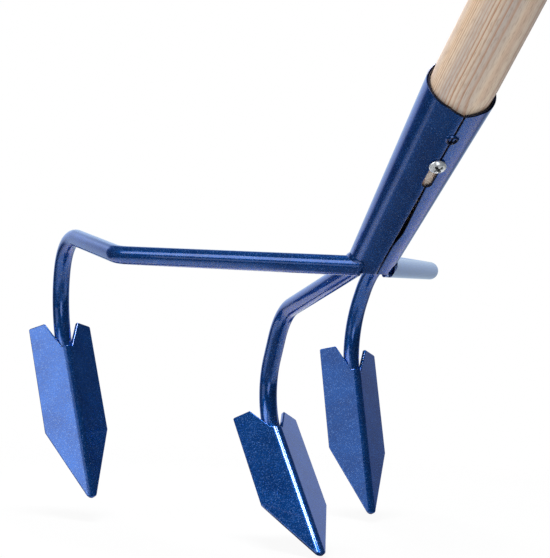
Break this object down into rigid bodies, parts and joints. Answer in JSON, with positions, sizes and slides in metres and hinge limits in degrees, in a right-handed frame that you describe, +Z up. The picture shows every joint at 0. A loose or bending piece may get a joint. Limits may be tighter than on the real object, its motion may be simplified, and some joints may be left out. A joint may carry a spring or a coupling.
{
  "type": "long handled cultivator",
  "caption": "Long handled hand cultivator: a round wooden handle in a rolled steel socket, with bent rod tines that end in folded, pointed blades.",
  "frame": {"origin": "on the handle's axis, where the wood's taper ends and the round grip begins, just above the mouth of the socket", "axes": "+X to the user's right, +Y forward from the user to the tines, +Z up, with the arms level in the working position"},
  "size_m": [0.2268, 1.2456, 0.9312],
  "materials": {
    "handle_wood": "bare, sanded, straight grain",
    "blue_enamel": "glossy metallic blue enamel",
    "enamelled_weld": "weld bead under the same enamel",
    "zinc_screw": "bright zinc plate"
  },
  "bodies": {
    "handle": {"handle": "handle_wood"},
    "head": {"socket": "blue_enamel", "seam_tack_weld": "enamelled_weld", "left_tine": "blue_enamel", "middle_tine": "blue_enamel", "right_tine": "blue_enamel", "left_root_weld": "enamelled_weld", "middle_root_weld": "enamelled_weld", "right_root_weld": "enamelled_weld", "left_blade": "blue_enamel", "middle_blade": "blue_enamel", "right_blade": "blue_enamel", "left_blade_weld": "enamelled_weld", "middle_blade_weld": "enamelled_weld", "right_blade_weld": "enamelled_weld"},
    "screw": {"retaining_screw": "zinc_screw"}
  },
  "joints": [
    {"name": "socket_take_up", "type": "slide", "parent": "handle", "child": "head", "axis": [0, -0.7826, 0.6225], "range_m": [0, 0.008]},
    {"name": "screw_turn", "type": "hinge", "parent": "handle", "child": "screw", "pos_m": [0, 0.03483, -0.0277], "axis": [-0.1045, -0.6191, -0.7783], "continuous": true}
  ]
}
